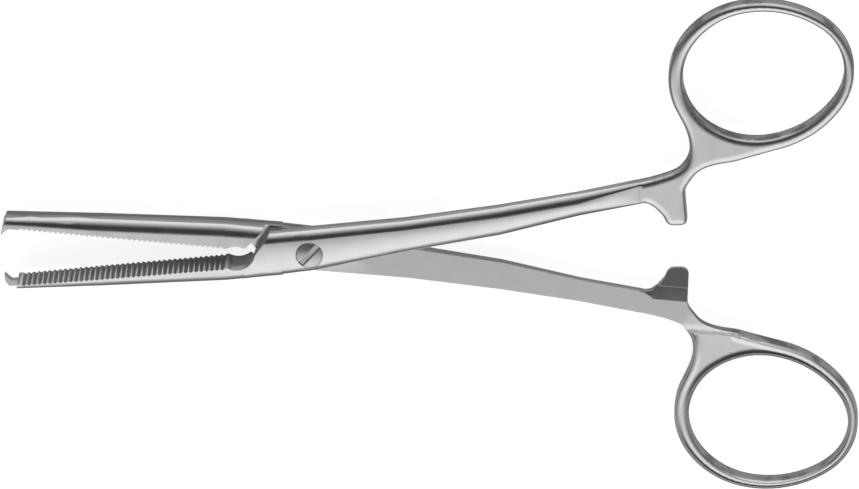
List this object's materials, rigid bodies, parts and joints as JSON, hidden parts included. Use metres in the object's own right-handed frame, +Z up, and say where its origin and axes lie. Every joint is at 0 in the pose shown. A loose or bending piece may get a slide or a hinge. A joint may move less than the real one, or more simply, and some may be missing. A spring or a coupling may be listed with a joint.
{
  "type": "hemostat forceps",
  "caption": "Ring-handled steel clamping forceps with serrated jaws, interlocking tip teeth, a slotted screw joint and a ratchet between the finger rings.",
  "frame": {"origin": "on the pivot axis, where the rear half's flat underside at the joint lies on the table", "axes": "+Z up along the pivot axis, +X from the pivot towards the finger rings, +Y towards the front half's ring; the forceps lie flat, open by 11.5 degrees"},
  "size_m": [0.1377, 0.0852, 0.0063],
  "materials": {
    "front_steel": "polished",
    "rear_steel": "polished",
    "screw_steel": "polished"
  },
  "bodies": {
    "rear": {"rear_half": "rear_steel", "joint_screw": "screw_steel"},
    "front": {"front_half": "front_steel"}
  },
  "joints": [
    {"name": "pivot", "type": "hinge", "parent": "rear", "child": "front", "pos_m": [0, 0, 0.003], "axis": [0, 0, 1], "range_deg": [-11.3, 45]}
  ]
}
